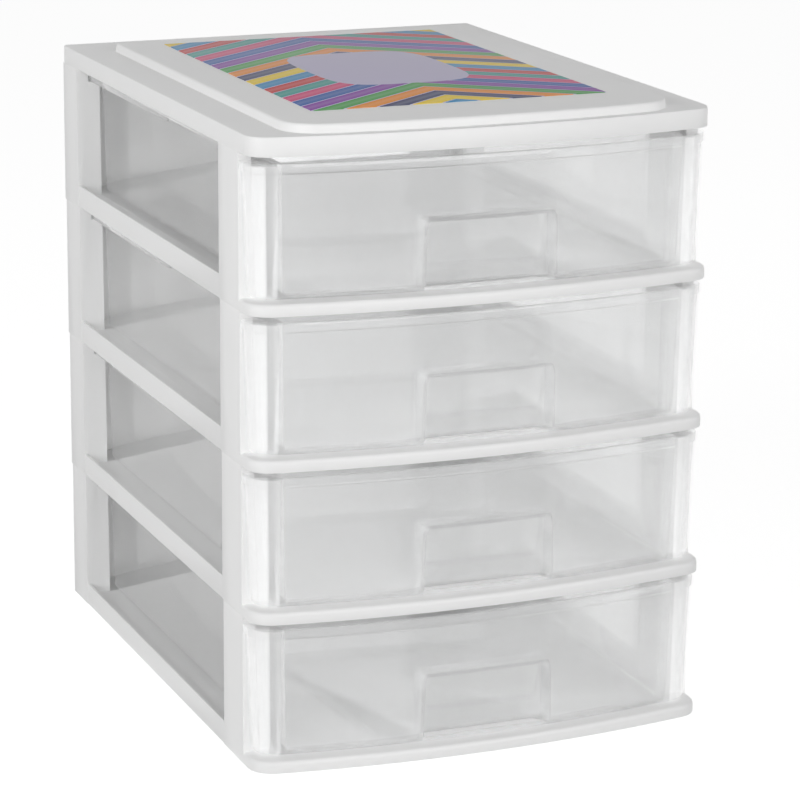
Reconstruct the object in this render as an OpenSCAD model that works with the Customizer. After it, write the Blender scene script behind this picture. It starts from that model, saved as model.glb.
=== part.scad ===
// Plastic drawer tower: four one-piece frames stacked on pegs, four clear drawers, a cover and its label.
// Millimetres, +Z up, drawers open towards -Y. The origin is at the middle of the footprint, on the floor.

/* [Tower] */
// Width of the frames
tower_w = 265; // [240:1:300]
// Depth from the back posts to the middle of the bowed lips
tower_d = 355; // [320:1:400]
// Height of one frame, from its foot to the foot of the next
frame_h = 83.6; // [78:0.2:110]
// How far the middle of the bowed front stands before its ends
bow = 12.4; // [6:0.2:18]
// Radius of the two front corners
corner_r = 14; // [11:0.5:18]

/* [Frame] */
// Wall of the frame mouldings
frame_wall = 2; // [1.6:0.1:3]
// Height of the side and back beams
sill_h = 13; // [11.5:0.5:18]
// Height of the front lip, and of the shelf's upper face
lip_h = 6.6; // [6:0.1:9]
// Radius of the lip's rounded upper edge
lip_round = 2; // [1:0.5:3]
// Thickness of the shelf
shelf_t = 1.8; // [1.4:0.1:2.4]
// How far the front posts lie behind the lip's straight ends
front_post_back = 7.5; // [0:0.1:12]
// Depth of a front post, front to back
front_post_d = 32; // [26:1:45]
// Depth of a back post, front to back
back_post_d = 28.5; // [24:0.5:45]
// How far the guide flanges of the posts reach in from the side
guide_w = 14.5; // [12:0.5:15]
// How far the front flanges of the front posts reach in from the side
front_flange_w = 15.5; // [14:0.5:16]
// How far the back flanges reach in from the side
back_flange_w = 40; // [30:1:60]
// How far the beams lie behind the faces of the posts
beam_set_back = 0.4; // [0.2:0.1:0.8]
// Draft of the posts' outer faces, over the height of a post
post_draft = 0.5; // [0.2:0.1:0.8]
// Clearance of the drawers' rims in the notches of the flanges
notch_gap = 0.6; // [0.4:0.1:1.5]
// Thickness of the ribs under the shelves and the cover
rib_t = 1.6; // [1.2:0.2:2.4]

/* [Stacking pegs] */
// Diameter of a peg
peg_d = 4; // [3.6:0.1:4.4]
// Height of a peg above its post
peg_h = 4; // [3:0.5:4.5]
// Clearance of a peg in its socket, on the radius
peg_gap = 0.2; // [0.1:0.05:0.3]
// Clearance over the end of a peg
peg_end_gap = 0.5; // [0.3:0.1:1]
// Wall round a socket
socket_wall = 1.7; // [1.4:0.1:2]

/* [Drawer] */
// Wall of the drawers
drawer_wall = 1.6; // [1.3:0.1:2.2]
// Width of the tub, at its top
tub_w = 232; // [200:1:233]
// Draft of the tub's sides and back, over its height
tub_draft = 1.5; // [0.5:0.1:2.5]
// How far the tub's back wall stays clear of the back flanges
tub_back_gap = 17.3; // [12:0.1:30]
// Radius of the tub's upright back corners
tub_corner_r = 9; // [7:0.5:14]
// Radius along the tub's lower edges
tub_edge_r = 4; // [2:0.5:6]
// How far the tub's rim reaches out past its wall
rim_w = 8.3; // [6:0.1:8.4]
// Height of the rim's turned-down edge
rim_h = 3.6; // [3:0.2:6]
// Height of the band round the top of the drawer's front
band_h = 5.8; // [5:0.2:10]
// How far that band stands proud of the front
band_proud = 0.8; // [0.4:0.1:1.2]
// Bevel along the band's upper edge
band_edge = 0.5; // [0.3:0.1:0.8]
// How far the front's ends stay inside the sides of the frames
front_side_gap = 0.5; // [0.3:0.1:1]
// How far the drawer's front lies behind the lip
front_set_back = 3; // [1:0.1:6]
// Draft of the drawer's front, over its height
front_draft = 2.6; // [0.5:0.1:3]
// Gap above the drawers
top_gap = 4; // [1.5:0.1:5]
// Gap under the drawers, and behind their fronts
seat_gap = 0.4; // [0.3:0.1:1]

/* [Finger pocket] */
// Width of the pocket's opening
pocket_w = 73; // [50:1:110]
// Height of the pocket's opening
pocket_h = 37.5; // [25:0.5:45]
// Depth of the pocket
pocket_d = 19; // [14:0.5:30]
// How much the pocket's roof rises towards its back
pocket_rise = 2.5; // [0:0.1:4]
// Draft of the pocket's sides, over its height
pocket_draft = 1.2; // [0.5:0.1:2]
// Radius of the pocket's upper corners
pocket_r = 6; // [3:0.5:10]
// Radius of the pocket's back corners and of the edge over its back wall
pocket_back_r = 8; // [3:0.5:12]
// Height of the sill that is left under the opening
pocket_sill = 3; // [2:0.2:5]
// Width of the strip of floor that is left before the pocket's slot
pocket_strip = 2.6; // [2:0.1:4]

/* [Cover] */
// Height of the cover's skirt
cover_h = 10.6; // [9.5:0.1:18]
// Thickness of the cover's top
cover_t = 2; // [1.6:0.1:3]
// Radius of the cover's upper edge
cover_edge_r = 1; // [0.6:0.1:1.4]
// How far the cover's sides lie inside the frames
cover_set_back = 0.5; // [0.2:0.1:1]
// Height of the raised panel
panel_h = 5; // [2:0.1:6]
// Width of the raised panel
panel_w = 220; // [190:1:230]
// Margin before the raised panel
panel_front_gap = 6; // [5:0.5:20]
// Margin behind the raised panel
panel_back_gap = 36; // [10:1:80]
// Radius of the panel's front corners
panel_corner_r = 21; // [8:0.5:25]
// Draft of the panel's sides, over their height
panel_draft = 0.6; // [0.2:0.1:1.5]
// Radius of the panel's upper edge
panel_edge_r = 1.6; // [0.8:0.1:2]
// Width of the label
label_w = 170; // [120:1:186]
// Length of the label
label_l = 252; // [160:1:256]
// Thickness of the label
label_t = 0.3; // [0.2:0.1:0.5]
// Gap between the label and the panel's back edge
label_back_gap = 17.5; // [8:0.5:30]

/* [Hidden] */
FRAMES = 4;
eps = 0.05;                               // overlap of joined solids
arc_steps = 5;                            // facets along a corner
bow_steps = 14;                           // facets along the bowed front
back_corner_r = 2.5;                      // radius of the plates' back corners
panel_back_r = 3;                         // radius of the panel's back corners
tub_seam_r = 2;                           // radius of corners that another solid hides
rib_pitch_x = 44;                         // spacing of the ribs
rib_pitch_y = 59;
cut = 2 * tower_d;                        // larger than the tower, for cutting blocks

half_w = tower_w / 2;
front_y = -tower_d / 2;                   // middle of the bowed lips
back_y = tower_d / 2;

// Circle that the bowed front follows, and where its corners begin
bow_r = half_w * half_w / (2 * bow) + bow / 2;
bow_y = front_y + bow_r;
corner_y = bow_y - sqrt(pow(bow_r - corner_r, 2) - pow(half_w - corner_r, 2));

// Posts
post_front_y = corner_y + front_post_back;        // front faces of the front posts
window_front_y = post_front_y + front_post_d;     // the side window's ends
window_back_y = back_y - back_post_d;
guide_x = half_w - guide_w;                       // inner edges of the guide flanges
tub_half = tub_w / 2;
rim_half = tub_half + rim_w;                      // outer edge of the drawers' rims
notch_x = rim_half + notch_gap;                   // outer ends of the notches
notch_h = top_gap + rim_h + notch_gap;            // from the top of a frame down
draft_angle = atan(post_draft / frame_h);

// Pegs and sockets
socket_r = peg_d / 2 + peg_gap;
boss_r = socket_r + socket_wall;
column_step = 0.5;                                // step from a peg out to the column that carries it
column_r = peg_d / 2 + column_step;
column_sink = 0.3;                                // how far the columns sink into the posts
peg_x = half_w - frame_wall - column_r + column_sink;
peg_front_y = (post_front_y + window_front_y) / 2;
peg_back_y = (window_back_y + back_y) / 2;
socket_depth = peg_h + peg_end_gap;

// Drawer heights, above the foot of its frame
drawer_z = lip_h + seat_gap;
drawer_top = frame_h - top_gap;
tub_back_y = back_y - frame_wall - tub_back_gap;
front_back_y = post_front_y - seat_gap;           // rear edge of the drawer's wrapped front
face_half = half_w - front_side_gap - band_proud; // half width of the front, under the band
face_y = front_y + front_set_back + band_proud;
rim_back_y = tub_back_y + rim_w;
rim_front_y = front_back_y - corner_r / 2;        // where the rim runs into the front's band
rim_r = tub_corner_r + rim_w / 3;                 // radius of the rim's back corners
pocket_top = drawer_z + pocket_h;
pocket_back_y = face_y + pocket_d;
slot_y = face_y + front_draft + pocket_strip;     // front edge of the pocket's slot in the floor

// Cover
cover_z = FRAMES * frame_h;
cover_top = cover_z + cover_h;
panel_top = cover_top + panel_h;
panel_back_y = back_y - panel_back_gap;
label_back_y = panel_back_y - label_back_gap;

// ---- Outlines and lofts ----

function arc(centre, radius, from, to, steps) =
    [for (i = [0 : steps]) centre + radius * [cos(from + (to - from) * i / steps),
                                              sin(from + (to - from) * i / steps)]];

// Counter-clockwise outline with rounded corners and a bowed front.
// half: half width, yf: front middle, yb: back, rf and rb: corner radii, inset: parallel offset inwards
function outline(half, yf, yb, rf, rb, depth, inset = 0) =
    let (radius = half * half / (2 * depth) + depth / 2,
         cy = yf + radius,
         fx = half - rf,
         fy = cy - sqrt(pow(radius - rf, 2) - pow(fx, 2)),
         right = 360 + atan2(fy - cy, fx),
         left = 540 - right,
         r1 = max(rf - inset, 0.2),
         r2 = max(rb - inset, 0.2),
         bx = half - rb)
    concat(arc([bx, yb - rb], r2, 0, 90, arc_steps),
           arc([-bx, yb - rb], r2, 90, 180, arc_steps),
           arc([-fx, fy], r1, 180, left, arc_steps),
           [for (i = [1 : bow_steps - 1])
               let (a = left + (right - left) * i / bow_steps)
               [(radius - inset) * cos(a), cy + (radius - inset) * sin(a)]],
           arc([fx, fy], r1, right, 360, arc_steps));

// Counter-clockwise outline with rounded back corners and square front ones
function tub_outline(half, yf, yb, r, inset = 0) =
    concat(arc([half - r, yb - r], r - inset, 0, 90, arc_steps),
           arc([r - half, yb - r], r - inset, 90, 180, arc_steps),
           [[inset - half, yf], [half - inset, yf]]);

function at_height(points, z) = [for (p = points) [p[0], p[1], z]];

// Solid through a stack of rings with equal numbers of points, counter-clockwise and rising
module loft(rings) {
    n = len(rings[0]);
    m = len(rings);
    points = [for (ring = rings) for (p = ring) p];
    sides = [for (k = [0 : m - 2]) for (i = [0 : n - 1])
        let (a = k * n + i, b = k * n + (i + 1) % n)
        each [[a, a + n, b], [b, a + n, b + n]]];
    bottom = [[for (i = [0 : n - 1]) i]];
    top = [[for (i = [n - 1 : -1 : 0]) (m - 1) * n + i]];
    polyhedron(points = points, faces = concat(bottom, sides, top), convexity = 6);
}

// Heights and insets of a quarter round at the top of a plate: [z, inset]
function round_over(z, r, steps) =
    [for (i = [0 : steps]) [z - r + r * sin(90 * i / steps), r - r * cos(90 * i / steps)]];

module mirrored_x() {
    children();
    mirror([1, 0, 0]) children();
}

// ---- Frame ----

module frame_outline(inset = 0) {
    polygon(outline(half_w, front_y, back_y, corner_r, back_corner_r, bow, inset));
}

// Shelf with its bowed lip: a shallow upturned tray, open below
module shelf() {
    steps = concat([[0, 0]], round_over(lip_h, lip_round, 3));
    difference() {
        loft([for (s = steps)
            at_height(outline(half_w, front_y, back_y, corner_r, back_corner_r, bow, s[1]), s[0])]);
        translate([0, 0, -eps]) linear_extrude(lip_h - shelf_t + eps) frame_outline(frame_wall);
    }
}

// Ribs that stiffen a plate from below, crossing in a grid
module ribs(z_low, z_high) {
    height = z_high - z_low + eps;
    for (x = [-2 : 2])
        translate([x * rib_pitch_x - rib_t / 2, front_y + bow, z_low])
            cube([rib_t, tower_d - bow - frame_wall + eps, height]);
    for (y = [-2 : 2])
        translate([-half_w + frame_wall - eps, y * rib_pitch_y - rib_t / 2, z_low])
            cube([tower_w - 2 * frame_wall + 2 * eps, rib_t, height]);
}

// Two sides and the back of the frame's beam
module beams() {
    mirrored_x()
        translate([-half_w, post_front_y, 0])
            cube([frame_wall, back_y - post_front_y, sill_h]);
    translate([-half_w, back_y - frame_wall, 0]) cube([tower_w, frame_wall, sill_h]);
}

// Upright channel with a web on the outside and two flanges pointing in
module post(y_from, y_to, front_reach, back_reach) {
    z_from = sill_h - eps;
    height = frame_h - z_from;
    translate([-half_w, y_from, z_from]) cube([frame_wall, y_to - y_from, height]);
    translate([-half_w, y_from, z_from]) cube([front_reach, frame_wall, height]);
    translate([-half_w, y_to - frame_wall, z_from]) cube([back_reach, frame_wall, height]);
}

// The flanges run on down to the shelf behind the beam
module post_foot(y_from, reach) {
    translate([-half_w, y_from, lip_h - eps]) cube([reach, frame_wall, sill_h - lip_h + 2 * eps]);
}

module posts() {
    mirrored_x() {
        post(post_front_y, window_front_y, front_flange_w, guide_w);
        post_foot(post_front_y, front_flange_w);
        post_foot(window_front_y - frame_wall, guide_w);
        post(window_back_y, back_y, guide_w, back_flange_w);
        post_foot(window_back_y, guide_w);
        post_foot(back_y - frame_wall, back_flange_w);
    }
}

// Notches in the flanges, open upwards
module notches() {
    for (y = [post_front_y, window_front_y - frame_wall, window_back_y])
        mirrored_x()
            translate([-notch_x, y - 1, frame_h - notch_h])
                cube([front_flange_w, frame_wall + 2, notch_h + 1]);
}

module peg_places() {
    for (x = [-peg_x, peg_x], y = [peg_front_y, peg_back_y])
        translate([x, y, 0]) children();
}

module pegs() {
    peg_places() {
        translate([0, 0, lip_h - eps]) cylinder(r = column_r, h = frame_h - lip_h + eps, $fn = 32);
        translate([0, 0, frame_h - eps]) cylinder(d = peg_d, h = peg_h + eps, $fn = 32);
    }
}

// Bosses under a shelf or the cover, and the sockets in them
module bosses(z_from, z_to) {
    peg_places() translate([0, 0, z_from]) cylinder(r = boss_r, h = z_to - z_from, $fn = 32);
}

module sockets(z_from) {
    peg_places() translate([0, 0, z_from - 1]) cylinder(r = socket_r, h = socket_depth + 1, $fn = 32);
}

// Shallow cuts that leave the beams a little behind the posts
module beam_relief() {
    length = window_back_y - window_front_y;
    mirrored_x()
        translate([-half_w - 1, window_front_y, -1]) cube([1 + beam_set_back, length, sill_h + 2]);
}

// Wedges that lean the outer faces in towards the top of the frame
module draft_cuts() {
    mirrored_x()
        translate([-half_w, 0, 0]) rotate([0, draft_angle, 0])
            translate([-cut, -cut / 2, 0]) cube([cut, cut, 2 * frame_h]);
    translate([0, back_y, 0]) rotate([draft_angle, 0, 0])
        translate([-cut / 2, 0, 0]) cube([cut, cut, 2 * frame_h]);
}

module frame(level) {
    color("white")
    translate([0, 0, (level - 1) * frame_h])
        difference() {
            union() {
                shelf();
                ribs(lip_h / 3, lip_h - shelf_t);
                beams();
                posts();
                pegs();
                intersection() {
                    bosses(0, lip_h - shelf_t + eps);
                    translate([-half_w, -cut / 2, 0]) cube([tower_w, cut, cut]);
                }
            }
            sockets(0);
            notches();
            beam_relief();
            draft_cuts();
        }
}

// ---- Drawer ----

// Inset that a draft gives at a height: none at the drawer's top, all of it at its bottom
function lean(draft, z) = draft * (drawer_top - z) / (drawer_top - drawer_z);

function front_ring(z, inset) =
    at_height(outline(face_half, face_y, 0, corner_r, tub_seam_r, bow,
                      inset + lean(front_draft, z)), z);

// The tub's section runs on forward past the front, which cuts it off
function tub_ring(z, inset) =
    at_height(tub_outline(tub_half, 2 * front_y, tub_back_y, tub_corner_r, inset + lean(tub_draft, z)), z);

// Heights and insets up a wall whose lower edge is rounded: [z, inset]
function wall_steps(z, r, inset) =
    concat([for (i = [0 : 3]) [z + r - r * cos(30 * i), inset + r - r * sin(30 * i)]],
           [[drawer_top + (inset > 0 ? 1 : 0), inset]]);

// Everything in front of, or behind, a plane across the drawer
module before(y) {
    translate([-cut / 2, y - cut, -1]) cube([cut, cut, cut]);
}

module behind(y) {
    translate([-cut / 2, y, -1]) cube([cut, cut, cut]);
}

// Block with the bowed front's outline, running back into the tub
module front_block(z_from, inset) {
    loft([for (s = wall_steps(z_from, tub_edge_r, inset)) front_ring(s[0], s[1])]);
}

// Block with the tub's section, cut off by the front
module tub_block(z_from, inset) {
    intersection() {
        loft([for (s = wall_steps(z_from, tub_edge_r, inset)) tub_ring(s[0], s[1])]);
        union() {
            front_block(z_from, inset);
            behind(front_back_y);
        }
    }
}

// Hollows behind the ends of the front, outside the tub, open to the back and below
module end_hollows() {
    mirrored_x()
        intersection() {
            loft([for (z = [drawer_z - 1, drawer_top - drawer_wall]) front_ring(z, drawer_wall)]);
            translate([-half_w, 2 * front_y, 0])
                cube([half_w - tub_half, cut, cut]);
        }
}

// Band round the top of the front
module front_band() {
    steps = [[drawer_top - band_h, 0], [drawer_top - band_h + band_proud, -band_proud],
             [drawer_top - band_edge, -band_proud], [drawer_top, band_edge - band_proud]];
    loft([for (s = steps)
        at_height(outline(face_half, face_y, 0, corner_r, tub_seam_r, bow, s[1]), s[0])]);
}

// The bowed front, wrapped round its corners and cut off level with its rear edges
module front_panel() {
    intersection() {
        union() {
            front_block(drawer_z, 0);
            front_band();
        }
        before(front_back_y);
    }
}

// Rim round the tub's sides and back, with its edge turned down
module rim() {
    difference() {
        translate([0, 0, drawer_top - rim_h]) linear_extrude(rim_h)
            polygon(tub_outline(rim_half, rim_front_y, rim_back_y, rim_r));
        translate([0, 0, drawer_top - rim_h - 1]) linear_extrude(rim_h + 1 - drawer_wall)
            polygon(tub_outline(rim_half, rim_front_y - 1, rim_back_y, rim_r, drawer_wall));
    }
}

// Sections of the finger pocket: from the front, from above and from the side
module pocket_front(grow) {
    half = pocket_w / 2 + grow;
    top = pocket_top + pocket_rise + grow;
    r = pocket_r + grow;
    polygon(concat([[half + pocket_draft, 0]],
                   arc([half - r, top - r], r, 0, 90, arc_steps),
                   arc([r - half, top - r], r, 90, 180, arc_steps),
                   [[-half - pocket_draft, 0]]));
}

module pocket_plan(grow) {
    half = pocket_w / 2 + pocket_draft + grow;
    back = pocket_back_y + grow;
    r = pocket_back_r + grow;
    polygon(concat([[half, 2 * front_y]],
                   arc([half - r, back - r], r, 0, 90, arc_steps),
                   arc([r - half, back - r], r, 90, 180, arc_steps),
                   [[-half, 2 * front_y]]));
}

module pocket_side(grow) {
    back = pocket_back_y + grow;
    front = face_y - pocket_d;
    r = pocket_back_r + grow;
    slope = atan(pocket_rise / pocket_d);
    top = pocket_top + grow / cos(slope);         // roof over the face
    centre_y = back - r;
    centre_z = top + (centre_y - face_y) * tan(slope) - r / cos(slope);
    polygon(concat([[back, 0]],
                   arc([centre_y, centre_z], r, 0, 90 + slope, arc_steps),
                   [[front, top - pocket_rise], [front, 0]]));
}

// The finger pocket as a block, grown by a wall or not, from the foot of the frame up
module pocket_block(grow) {
    intersection() {
        translate([0, back_y, 0]) rotate([90, 0, 0]) linear_extrude(2 * tower_d) pocket_front(grow);
        linear_extrude(drawer_top) pocket_plan(grow);
        translate([-half_w, 0, 0]) rotate([90, 0, 90]) linear_extrude(tower_w) pocket_side(grow);
    }
}

module above(z) {
    translate([-cut / 2, -cut / 2, z]) cube(cut);
}

module drawer(level) {
    color("gainsboro", 0.45)
    translate([0, 0, (level - 1) * frame_h])
        difference() {
            union() {
                difference() {
                    union() {
                        front_panel();
                        tub_block(drawer_z, 0);
                        rim();
                    }
                    tub_block(drawer_z + drawer_wall, drawer_wall);
                    end_hollows();
                }
                // Walls of the finger pocket
                intersection() {
                    pocket_block(drawer_wall);
                    tub_block(drawer_z, 0);
                }
            }
            // The pocket itself, and the slot through the floor behind its sill
            intersection() {
                pocket_block(0);
                union() {
                    above(drawer_z + pocket_sill);
                    behind(slot_y);
                }
            }
        }
}

// ---- Cover ----

function cover_outline(inset) =
    outline(half_w - cover_set_back, front_y, back_y - cover_set_back, corner_r, back_corner_r,
            bow, inset);

module cover_plate() {
    steps = concat([[cover_z, 0]], round_over(cover_top, cover_edge_r, 2));
    loft([for (s = steps)
        at_height(cover_outline(s[1]), s[0])]);
}

function panel_outline(inset) =
    outline(panel_w / 2, front_y + panel_front_gap, panel_back_y, panel_corner_r, panel_back_r,
            bow * pow(panel_w / tower_w, 2), inset);

module raised_panel() {
    steps = concat([[cover_top - eps, -panel_draft]], round_over(panel_top, panel_edge_r, 3));
    loft([for (s = steps) at_height(panel_outline(s[1]), s[0])]);
}

module top_cover() {
    color("white")
    difference() {
        union() {
            difference() {
                union() {
                    cover_plate();
                    raised_panel();
                }
                translate([0, 0, cover_z - 1]) linear_extrude(cover_h - cover_t + 1)
                    polygon(cover_outline(frame_wall));
                translate([0, 0, cover_z]) linear_extrude(cover_h + panel_h - cover_t)
                    polygon(panel_outline(frame_wall));
            }
            ribs(cover_z + cover_h / 3, cover_top - cover_t);
            intersection() {
                bosses(cover_z, cover_top - cover_t + eps);
                translate([-half_w + cover_set_back, -cut / 2, 0])
                    cube([tower_w - 2 * cover_set_back, cut, cut]);
            }
        }
        sockets(cover_z);
    }
}

module label_sheet() {
    color("lavender")
    translate([-label_w / 2, label_back_y - label_l, panel_top]) cube([label_w, label_l, label_t]);
}

top_cover();
label_sheet();
frame(1);  // frame_1
frame(2);  // frame_2
frame(3);  // frame_3
frame(4);  // frame_4
drawer(1);  // drawer_1
drawer(2);  // drawer_2
drawer(3);  // drawer_3
drawer(4);  // drawer_4
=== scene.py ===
"""Plastic drawer tower: white moulded frames, clear drawers, a labelled cover and the studio round them."""
import math

import bpy
from mathutils import Matrix, Vector


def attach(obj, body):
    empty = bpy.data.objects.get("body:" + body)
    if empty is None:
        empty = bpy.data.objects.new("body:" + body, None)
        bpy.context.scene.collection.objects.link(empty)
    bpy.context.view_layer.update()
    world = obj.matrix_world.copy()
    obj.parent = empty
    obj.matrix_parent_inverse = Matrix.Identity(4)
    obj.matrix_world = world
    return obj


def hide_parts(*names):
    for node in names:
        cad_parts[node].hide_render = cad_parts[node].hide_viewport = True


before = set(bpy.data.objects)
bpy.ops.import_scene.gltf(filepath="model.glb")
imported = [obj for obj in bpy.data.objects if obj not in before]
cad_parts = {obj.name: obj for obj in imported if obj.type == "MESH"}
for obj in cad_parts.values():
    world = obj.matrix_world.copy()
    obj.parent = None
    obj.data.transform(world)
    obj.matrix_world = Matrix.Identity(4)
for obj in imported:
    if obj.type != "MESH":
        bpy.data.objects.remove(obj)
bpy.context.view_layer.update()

LEVELS = (1, 2, 3, 4)
MM = 0.001
PLAIN_WHITE = (1, 1, 1)

# The camera as fitted to the photograph: metres, degrees, and millimetres for lens and sensor
CAMERA_PLACE = (-0.6678, -1.7118, 0.6361)
CAMERA_TURN = -21.784
CAMERA_TILT = 14.682
CAMERA_ROLL = 0.148
CAMERA_LENS = 146.74
CAMERA_SENSOR = 36

# Copies of the CAD nodes: what is merged, what counts as flat or smooth, and how far edges are rounded
MERGE_GAP = 0.001 * MM
FLAT_ANGLE = math.radians(0.3)
SMOOTH_ANGLE = math.radians(32)
FRAME_EDGE = 0.5 * MM
DRAWER_EDGE = 0.45 * MM
LABEL_EDGE = 0.1 * MM

# White polypropylene: tints, roughness and fine grain, with noise scales per metre
WHITE_TINTS = ((0.90, 0.90, 0.90), (0.925, 0.925, 0.92))
WHITE_TINT_SCALE = 14.0
WHITE_ROUGHNESS = (0.28, 0.40)
WHITE_ROUGHNESS_SCALE = 60.0
WHITE_IOR = 1.5
GRAIN_SCALE = 900.0
GRAIN_DETAIL = 4.0
GRAIN_STRENGTH = 0.12
GRAIN_DEPTH = 0.03 * MM

# Clear polystyrene: tints, haze (what isn't transmitted), shallow waves, and gloss from facing to grazing
CLEAR_TINTS = ((0.94, 0.945, 0.95), (0.96, 0.963, 0.965))
CLEAR_TINT_SCALE = 9.0
CLEAR_ROUGHNESS = 0.06
CLEAR_IOR = 1.45
CLEAR_TRANSMISSION = 0.62
WAVE_SCALE = 18.0
WAVE_STRENGTH = 0.25
WAVE_DEPTH = 0.4 * MM
SOLID_SHARE = 0.45  # of the plastic, bends what is seen through it; the rest shows it straight
STRAIGHT_PASS = 0.985
SHADOW_PASS = 0.96
GLOSS_ROUGHNESS = 0.05
GLOSS_POWER = 5.0
GLOSS_RANGE = (0.035, 1.0)

# The label's print: slanted ribbons in these inks round a pale field
INKS = ((0.60, 0.02, 0.02), (0.02, 0.28, 0.55), (0.95, 0.70, 0.02), (0.02, 0.03, 0.12), (0.90, 0.30, 0.01),
        (0.05, 0.35, 0.06), (0.25, 0.04, 0.40), (0.01, 0.10, 0.40), (0.70, 0.05, 0.20), (0.02, 0.33, 0.30))
PALE_INK = (0.66, 0.62, 0.80)
RIBBON_W = 15 * MM
RIBBON_SLANT = 0.8
RIBBON_GAP = 0.05  # of a ribbon's width, pale at each of its edges
RIBBON_FADE = 0.3  # twice the share of white mixed in at a ribbon's middle
FIELD_HALF_W = 42 * MM
FIELD_HALF_L = 58 * MM
FIELD_Y = -4 * MM
FIELD_POWER = 4.0
PRINT_ROUGHNESS = 0.45
PRINT_GLOSS = 0.15

# The world's light at the horizon and overhead
HORIZON_LIGHT = 0.75
ZENITH_LIGHT = 0.0

# The floor: its size, its colour in the light and as seen, and the glow that whitens it where it is seen
FLOOR_SIZE = 12
FLOOR_LIT = (0.6, 0.6, 0.6)
FLOOR_SEEN = (0.4, 0.4, 0.4)
FLOOR_GLOW = 0.86
FLOOR_ROUGHNESS = 0.9

# Square lamps: name, place, aim, size and power in watts
LAMPS = (("key_lamp", (-1.9, -1.2, 0.98), (0, 0, 0.17), 1.5, 24),
         ("front_lamp", (0.5, -2.3, 0.7), (0, 0, 0.15), 1.4, 12),
         ("right_lamp", (1.9, -1.0, 0.8), (0, 0, 0.15), 1.2, 4))

UNMIRRORED_LAMP = "key_lamp"

# How often light bounces
ALL_BOUNCES = 32
DIFFUSE_BOUNCES = 8
GLOSSY_BOUNCES = 4


# ---- Modelling helpers ----

def deselect_all():
    """Leaves nothing selected, in Object mode."""
    if bpy.context.object and bpy.context.object.mode != "OBJECT":
        bpy.ops.object.mode_set(mode="OBJECT")
    bpy.ops.object.select_all(action="DESELECT")


def make_active(piece):
    """Selects one piece alone."""
    deselect_all()
    piece.select_set(True)
    bpy.context.view_layer.objects.active = piece


def soften(piece, width, segments=2):
    """Rounds the sharp edges of a moulding and smooths its curves."""
    make_active(piece)
    bevel = piece.modifiers.new("soft_edges", "BEVEL")
    bevel.width = width
    bevel.segments = segments
    bevel.limit_method = "ANGLE"
    bevel.angle_limit = SMOOTH_ANGLE
    bevel.miter_outer = "MITER_ARC"
    bevel.use_clamp_overlap = True
    bpy.ops.object.modifier_apply(modifier=bevel.name)
    bpy.ops.object.shade_smooth_by_angle(angle=SMOOTH_ANGLE)


def moulding(node, width):
    """A copy of a CAD node, its facets merged and its edges softened."""
    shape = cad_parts[node].data.copy()
    piece = bpy.data.objects.new(node + "_moulding", shape)
    bpy.context.scene.collection.objects.link(piece)
    make_active(piece)
    bpy.ops.object.mode_set(mode="EDIT")
    bpy.ops.mesh.select_all(action="SELECT")
    bpy.ops.mesh.remove_doubles(threshold=MERGE_GAP)
    bpy.ops.mesh.dissolve_limited(angle_limit=FLAT_ANGLE)
    bpy.ops.object.mode_set(mode="OBJECT")
    soften(piece, width)
    return piece


# ---- Materials ----

def new_material(name):
    """A material with its Principled shader: returns the material, its tree and the shader."""
    material = bpy.data.materials.new(name)
    material.use_nodes = True
    tree = material.node_tree
    return material, tree, tree.nodes["Principled BSDF"]


def add_noise(tree, scale, detail=2.0):
    """Noise on Object coordinates, its scale per metre."""
    place = tree.nodes.new("ShaderNodeTexCoord")
    noise = tree.nodes.new("ShaderNodeTexNoise")
    noise.inputs["Scale"].default_value = scale
    noise.inputs["Detail"].default_value = detail
    tree.links.new(place.outputs["Object"], noise.inputs["Vector"])
    return noise.outputs["Fac"]


def add_range(tree, value, low, high):
    """Spreads a 0-to-1 value over another range."""
    node = tree.nodes.new("ShaderNodeMapRange")
    node.inputs["To Min"].default_value = low
    node.inputs["To Max"].default_value = high
    tree.links.new(value, node.inputs["Value"])
    return node.outputs["Result"]


def add_bump(tree, shader, height, strength, distance):
    """Bump from a height."""
    node = tree.nodes.new("ShaderNodeBump")
    node.inputs["Strength"].default_value = strength
    node.inputs["Distance"].default_value = distance
    tree.links.new(height, node.inputs["Height"])
    tree.links.new(node.outputs["Normal"], shader.inputs["Normal"])


def add_mix(tree, share, first, second):
    """One shader that turns into another as share, a number or a socket, goes from 0 to 1."""
    node = tree.nodes.new("ShaderNodeMixShader")
    if isinstance(share, float):
        node.inputs["Fac"].default_value = share
    else:
        tree.links.new(share, node.inputs["Fac"])
    tree.links.new(first, node.inputs[1])
    tree.links.new(second, node.inputs[2])
    return node.outputs["Shader"]


def add_clear(tree, passed):
    """A face that lets this share of the light straight through."""
    node = tree.nodes.new("ShaderNodeBsdfTransparent")
    node.inputs["Color"].default_value = (passed, passed, passed, 1)
    return node.outputs["BSDF"]


def add_math(tree, operation, *values):
    """A Math node on sockets and numbers."""
    node = tree.nodes.new("ShaderNodeMath")
    node.operation = operation
    for socket, value in zip(node.inputs, values):
        if isinstance(value, (int, float)):
            socket.default_value = value
        else:
            tree.links.new(value, socket)
    return node.outputs["Value"]


def add_slant_gloss(tree):
    """How much a clear face mirrors, which grows as it is seen at a slant, the same from both sides."""
    facing = tree.nodes.new("ShaderNodeLayerWeight").outputs["Facing"]
    return add_range(tree, add_math(tree, "POWER", facing, GLOSS_POWER), *GLOSS_RANGE)


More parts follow.
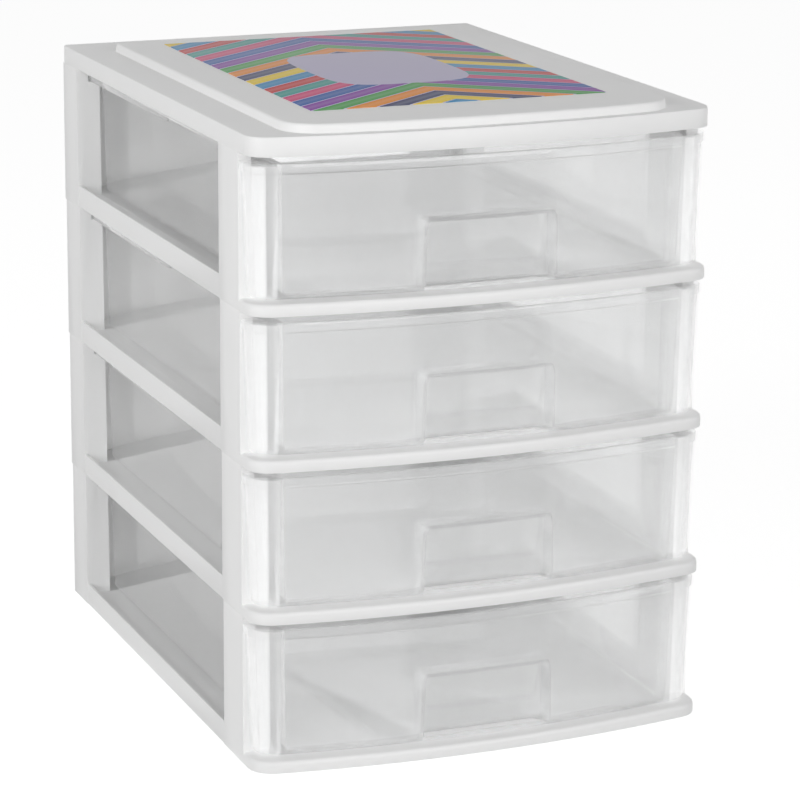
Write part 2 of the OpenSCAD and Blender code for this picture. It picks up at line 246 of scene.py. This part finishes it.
def add_blend(tree, share, first, second):
    """One colour that turns into another; each is a colour or a socket."""
    node = tree.nodes.new("ShaderNodeMix")
    node.data_type = "RGBA"
    tree.links.new(share, node.inputs["Factor"])
    for name, colour in (("A", first), ("B", second)):
        socket = next(i for i in node.inputs if i.name == name and i.type == "RGBA")
        if isinstance(colour, tuple):
            socket.default_value = (*colour, 1)
        else:
            tree.links.new(colour, socket)
    return next(o for o in node.outputs if o.type == "RGBA")


def add_ramp(tree, value, bands):
    """Bands of plain colour along a 0-to-1 value: [(start, colour)]."""
    node = tree.nodes.new("ShaderNodeValToRGB")
    node.color_ramp.interpolation = "CONSTANT"
    stops = node.color_ramp.elements
    while len(stops) < len(bands):
        stops.new(0.5)
    for stop, (start, colour) in zip(stops, bands):
        stop.position = start
        stop.color = (*colour, 1)
    tree.links.new(value, node.inputs["Fac"])
    return node.outputs["Color"]


def add_oval(tree, across, along):
    """1 on the edge of the print's pale field and less inside it."""
    wide = add_math(tree, "POWER", add_math(tree, "DIVIDE", across, FIELD_HALF_W), FIELD_POWER)
    centred = add_math(tree, "ABSOLUTE", add_math(tree, "SUBTRACT", along, FIELD_Y))
    deep = add_math(tree, "POWER", add_math(tree, "DIVIDE", centred, FIELD_HALF_L), FIELD_POWER)
    return add_math(tree, "ADD", wide, deep)


def white_plastic():
    """Semi-gloss white polypropylene."""
    material, tree, shader = new_material("white_polypropylene")
    tints = add_blend(tree, add_noise(tree, WHITE_TINT_SCALE), *WHITE_TINTS)
    tree.links.new(tints, shader.inputs["Base Color"])
    roughness = add_range(tree, add_noise(tree, WHITE_ROUGHNESS_SCALE), *WHITE_ROUGHNESS)
    tree.links.new(roughness, shader.inputs["Roughness"])
    shader.inputs["IOR"].default_value = WHITE_IOR
    add_bump(tree, shader, add_noise(tree, GRAIN_SCALE, GRAIN_DETAIL), GRAIN_STRENGTH, GRAIN_DEPTH)
    return material


def clear_plastic():
    """Clear polystyrene, a little hazy, which lets the lamps through."""
    material, tree, shader = new_material("clear_polystyrene")
    tints = add_blend(tree, add_noise(tree, CLEAR_TINT_SCALE), *CLEAR_TINTS)
    tree.links.new(tints, shader.inputs["Base Color"])
    shader.inputs["Roughness"].default_value = CLEAR_ROUGHNESS
    shader.inputs["IOR"].default_value = CLEAR_IOR
    shader.inputs["Transmission Weight"].default_value = CLEAR_TRANSMISSION
    add_bump(tree, shader, add_noise(tree, WAVE_SCALE), WAVE_STRENGTH, WAVE_DEPTH)
    shine = tree.nodes.new("ShaderNodeBsdfGlossy")
    shine.inputs["Color"].default_value = (*PLAIN_WHITE, 1)
    shine.inputs["Roughness"].default_value = GLOSS_ROUGHNESS
    tree.links.new(shader.inputs["Normal"].links[0].from_socket, shine.inputs["Normal"])
    solid = add_mix(tree, SOLID_SHARE, add_clear(tree, STRAIGHT_PASS), shader.outputs["BSDF"])
    shone = add_mix(tree, add_slant_gloss(tree), solid, shine.outputs["BSDF"])
    path = tree.nodes.new("ShaderNodeLightPath")
    passed = add_mix(tree, path.outputs["Is Shadow Ray"], shone, add_clear(tree, SHADOW_PASS))
    tree.links.new(passed, tree.nodes["Material Output"].inputs["Surface"])
    return material


def label_print():
    """Coated paper with a print of slanted coloured ribbons round a pale field."""
    material, tree, shader = new_material("label_print")
    place = tree.nodes.new("ShaderNodeTexCoord")
    axes = tree.nodes.new("ShaderNodeSeparateXYZ")
    tree.links.new(place.outputs["Object"], axes.inputs["Vector"])
    across = add_math(tree, "ABSOLUTE", axes.outputs["X"])
    along = axes.outputs["Y"]
    slant = add_math(tree, "MULTIPLY_ADD", across, RIBBON_SLANT, along)
    turn = add_math(tree, "FRACT", add_math(tree, "DIVIDE", slant, RIBBON_W * len(INKS)))
    ribbons = add_ramp(tree, turn, [(i / len(INKS), ink) for i, ink in enumerate(INKS)])
    rise = add_math(tree, "PINGPONG", add_math(tree, "DIVIDE", slant, RIBBON_W), 0.5)
    lit = add_blend(tree, add_range(tree, rise, 0.0, RIBBON_FADE), ribbons, PLAIN_WHITE)
    striped = add_blend(tree, add_math(tree, "LESS_THAN", rise, RIBBON_GAP), lit, PALE_INK)
    field = add_math(tree, "LESS_THAN", add_oval(tree, across, along), 1.0)
    tree.links.new(add_blend(tree, field, striped, PALE_INK), shader.inputs["Base Color"])
    shader.inputs["Roughness"].default_value = PRINT_ROUGHNESS
    shader.inputs["Specular IOR Level"].default_value = PRINT_GLOSS
    return material


# ---- Pieces ----

def make_pieces():
    """Dresses every CAD node."""
    white = white_plastic()
    clear = clear_plastic()
    printed = label_print()
    for level in LEVELS:
        node = f"frame_{level}"
        piece = moulding(node, FRAME_EDGE)
        finish(piece, node, "tower", white)
    for level in LEVELS:
        node = f"drawer_{level}"
        piece = moulding(node, DRAWER_EDGE)
        finish(piece, node, node + "_body", clear)
    finish(moulding("top_cover", FRAME_EDGE), "top_cover", "tower", white)
    finish(moulding("label_sheet", LABEL_EDGE), "label_sheet", "tower", printed)


def finish(piece, node, body, material):
    """Gives a piece its material and its place in the frame."""
    piece.data.materials.clear()
    piece.data.materials.append(material)
    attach(piece, body)
    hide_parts(node)


# ---- Studio ----

def make_camera():
    """The photograph's view."""
    data = bpy.data.cameras.new("camera")
    data.sensor_width = CAMERA_SENSOR
    data.lens = CAMERA_LENS
    camera = bpy.data.objects.new("camera", data)
    bpy.context.scene.collection.objects.link(camera)
    turn = Matrix.Rotation(math.radians(CAMERA_TURN), 4, "Z")
    tilt = Matrix.Rotation(math.radians(90 - CAMERA_TILT), 4, "X")
    roll = Matrix.Rotation(math.radians(CAMERA_ROLL), 4, "Z")
    camera.matrix_world = Matrix.Translation(CAMERA_PLACE) @ turn @ tilt @ roll
    bpy.context.scene.camera = camera


def add_lamp(name, place, aim, size, power):
    """A square area lamp that points at a spot, mirrored in gloss unless it is the key lamp."""
    data = bpy.data.lights.new(name, "AREA")
    data.shape = "SQUARE"
    data.size = size
    data.energy = power
    lamp = bpy.data.objects.new(name, data)
    bpy.context.scene.collection.objects.link(lamp)
    lamp.location = place
    lamp.visible_glossy = name != UNMIRRORED_LAMP
    lamp.rotation_euler = (Vector(aim) - Vector(place)).to_track_quat("-Z", "Y").to_euler()


def add_seen(tree):
    """1 for what the camera sees straight, in gloss or through glass, and 0 for light."""
    path = tree.nodes.new("ShaderNodeLightPath").outputs
    straight = add_math(tree, "MAXIMUM", path["Is Camera Ray"], path["Is Transmission Ray"])
    return add_math(tree, "MAXIMUM", straight, path["Is Glossy Ray"])


def make_world():
    """White as seen by the camera and in gloss and glass, and as light dimmer towards the zenith."""
    world = bpy.data.worlds.new("studio")
    bpy.context.scene.world = world
    world.use_nodes = True
    tree = world.node_tree
    light = tree.nodes["Background"]
    light.inputs["Color"].default_value = (*PLAIN_WHITE, 1)
    place = tree.nodes.new("ShaderNodeTexCoord")
    axes = tree.nodes.new("ShaderNodeSeparateXYZ")
    tree.links.new(place.outputs["Generated"], axes.inputs["Vector"])
    strength = add_range(tree, axes.outputs["Z"], HORIZON_LIGHT, ZENITH_LIGHT)
    tree.links.new(strength, light.inputs["Strength"])
    seen = tree.nodes.new("ShaderNodeBackground")
    seen.inputs["Color"].default_value = (*PLAIN_WHITE, 1)
    seen.inputs["Strength"].default_value = 1.0
    both = add_mix(tree, add_seen(tree), light.outputs["Background"], seen.outputs["Background"])
    tree.links.new(both, tree.nodes["World Output"].inputs["Surface"])


def make_floor():
    """A pale floor that keeps the tower's soft shadow."""
    deselect_all()
    bpy.ops.mesh.primitive_plane_add(size=FLOOR_SIZE, location=(0, 0, 0))
    floor = bpy.context.object
    floor.name = "floor"
    material, tree, shader = new_material("pale_floor")
    seen = add_seen(tree)
    tree.links.new(add_blend(tree, seen, FLOOR_LIT, FLOOR_SEEN), shader.inputs["Base Color"])
    shader.inputs["Roughness"].default_value = FLOOR_ROUGHNESS
    shader.inputs["Specular IOR Level"].default_value = 0.0
    shader.inputs["Emission Color"].default_value = (*PLAIN_WHITE, 1)
    tree.links.new(add_range(tree, seen, 0.0, FLOOR_GLOW), shader.inputs["Emission Strength"])
    floor.data.materials.append(material)


def make_studio():
    """Camera, lamps, world and floor."""
    make_camera()
    make_world()
    make_floor()
    for lamp in LAMPS:
        add_lamp(*lamp)
    scene = bpy.context.scene
    scene.view_settings.view_transform = "Standard"
    scene.cycles.max_bounces = ALL_BOUNCES
    scene.cycles.transmission_bounces = ALL_BOUNCES
    scene.cycles.transparent_max_bounces = ALL_BOUNCES
    scene.cycles.diffuse_bounces = DIFFUSE_BOUNCES
    scene.cycles.glossy_bounces = GLOSSY_BOUNCES


make_pieces()
make_studio()
